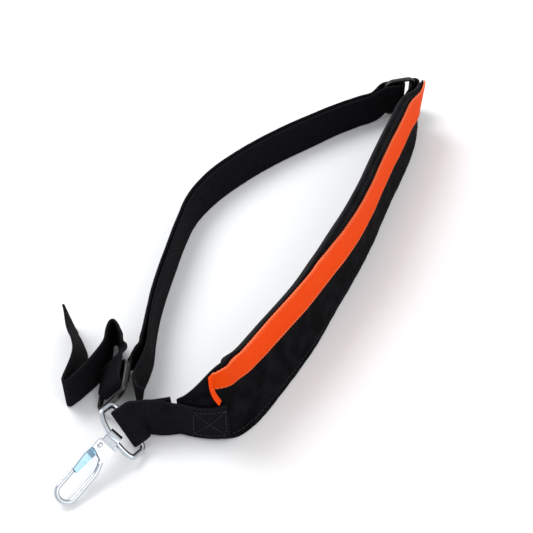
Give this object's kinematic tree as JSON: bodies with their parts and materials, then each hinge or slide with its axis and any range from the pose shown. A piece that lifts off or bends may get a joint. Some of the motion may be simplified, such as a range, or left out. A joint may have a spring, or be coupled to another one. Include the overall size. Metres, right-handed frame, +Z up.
{
  "type": "saxophone neck strap",
  "caption": "Padded neck strap with a bright stripe, doubled webbing strap, two slides, a free tail, a D-ring and a sprung snap hook",
  "frame": {"origin": "middle of the footprint, on the surface that the strap stands on", "axes": "+Z up; +Y from the hook end towards the upper slide; +X towards the side where the pad stands"},
  "size_m": [0.2533, 0.3751, 0.0621],
  "materials": {
    "pad_fabric": "woven nylon, slightly mottled",
    "pad_foam": "closed-cell foam",
    "pad_lining": "brushed lining",
    "accent_webbing": "bright woven polyester webbing",
    "accent_thread": "sewing thread",
    "black_webbing": "woven webbing, matt",
    "black_thread": "sewing thread",
    "slide_plastic": "moulded, glossy",
    "plated_steel": "bright nickel or zinc plate",
    "blue_zinc": "blue-tinted zinc plate",
    "spring_steel": "spring wire"
  },
  "bodies": {
    "strap_body": {"accent_stripe": "accent_webbing", "lower_slide": "slide_plastic", "pad_cover": "pad_fabric", "pad_foam": "pad_foam", "pad_lining": "pad_lining", "ring_tab": "black_webbing", "slide_tab": "black_webbing", "strap_end_tack": "black_thread", "strap_inner_run": "black_webbing", "strap_outer_run": "black_webbing", "strap_tail": "black_webbing", "stripe_seam_lower": "accent_thread", "stripe_seam_upper": "accent_thread", "tab_box_stitch": "black_thread", "tail_end_tack": "black_thread", "upper_slide": "slide_plastic"},
    "ring": {"d_ring": "plated_steel"},
    "hook": {"hook_head": "plated_steel", "hook_rod": "plated_steel", "gate_rivet": "plated_steel", "gate_spring": "spring_steel"},
    "gate": {"hook_gate": "blue_zinc"}
  },
  "joints": [
    {"name": "ring_swing", "type": "hinge", "parent": "strap_body", "child": "ring", "pos_m": [-0.0771, -0.13986, 0.01277], "axis": [0.5753, -0.5783, -0.5783], "range_deg": [-75, 0]},
    {"name": "hook_swing", "type": "hinge", "parent": "ring", "child": "hook", "pos_m": [-0.08512, -0.15092, 0.01585], "axis": [0.5753, -0.5783, -0.5783], "range_deg": [-60, 0]},
    {"name": "gate_open", "type": "hinge", "parent": "hook", "child": "gate", "pos_m": [-0.09256, -0.15576, 0.01569], "axis": [-0.3087, 0.5012, -0.8084], "range_deg": [-18, 0], "stiffness_Nm_per_rad": 0.05, "springref_deg": 8.59}
  ]
}
